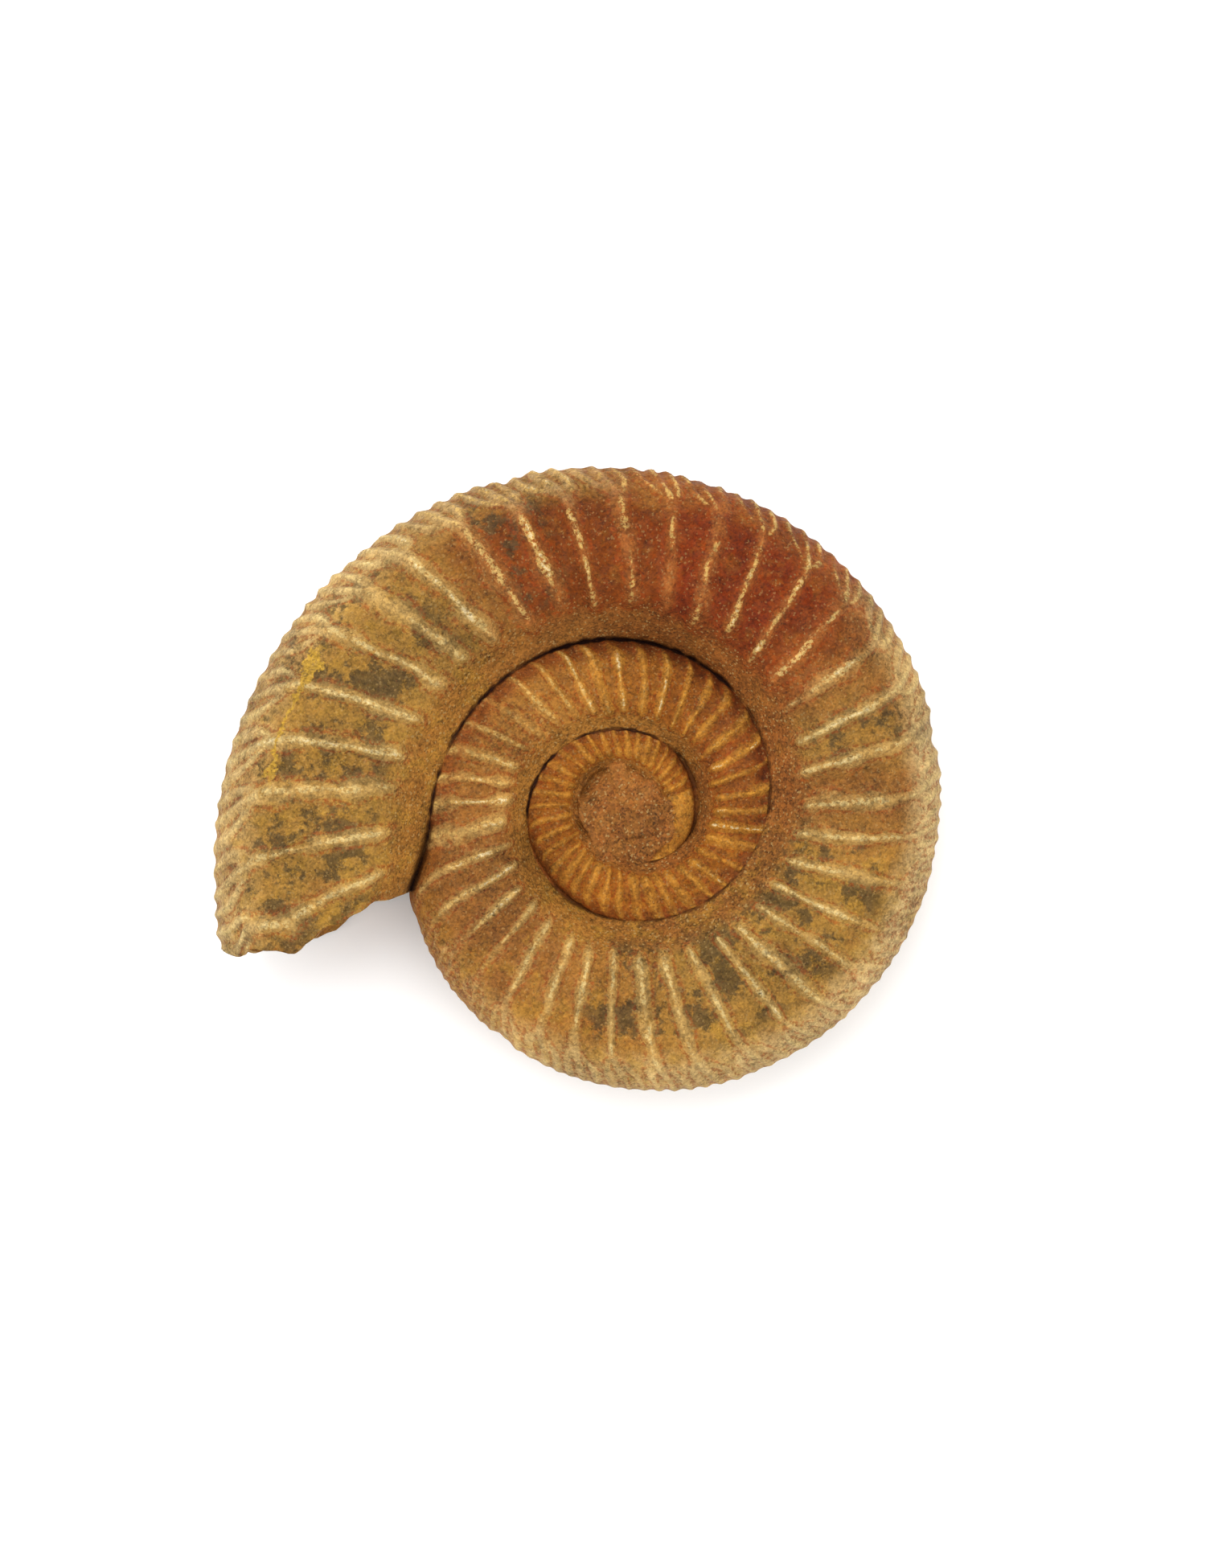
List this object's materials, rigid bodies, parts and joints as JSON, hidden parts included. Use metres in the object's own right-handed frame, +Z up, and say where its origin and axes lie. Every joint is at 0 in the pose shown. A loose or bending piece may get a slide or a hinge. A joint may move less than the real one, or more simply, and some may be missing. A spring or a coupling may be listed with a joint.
{
  "type": "ammonite fossil",
  "caption": "Coiled, ribbed ammonite shell turned to brown stone, lying flat, with sandy matrix in its middle and a broken mouth.",
  "frame": {"origin": "middle of the bounding box's base, on the surface that the fossil lies on", "axes": "+Z up, out of the side that shows; +X along the longest width of the coil; the broken end of the last whorl is at -X and faces -Y"},
  "size_m": [0.06, 0.0516, 0.0176],
  "materials": {
    "fossil_stone": "matt"
  },
  "bodies": {
    "root": {"ammonite": "fossil_stone"}
  },
  "joints": []
}
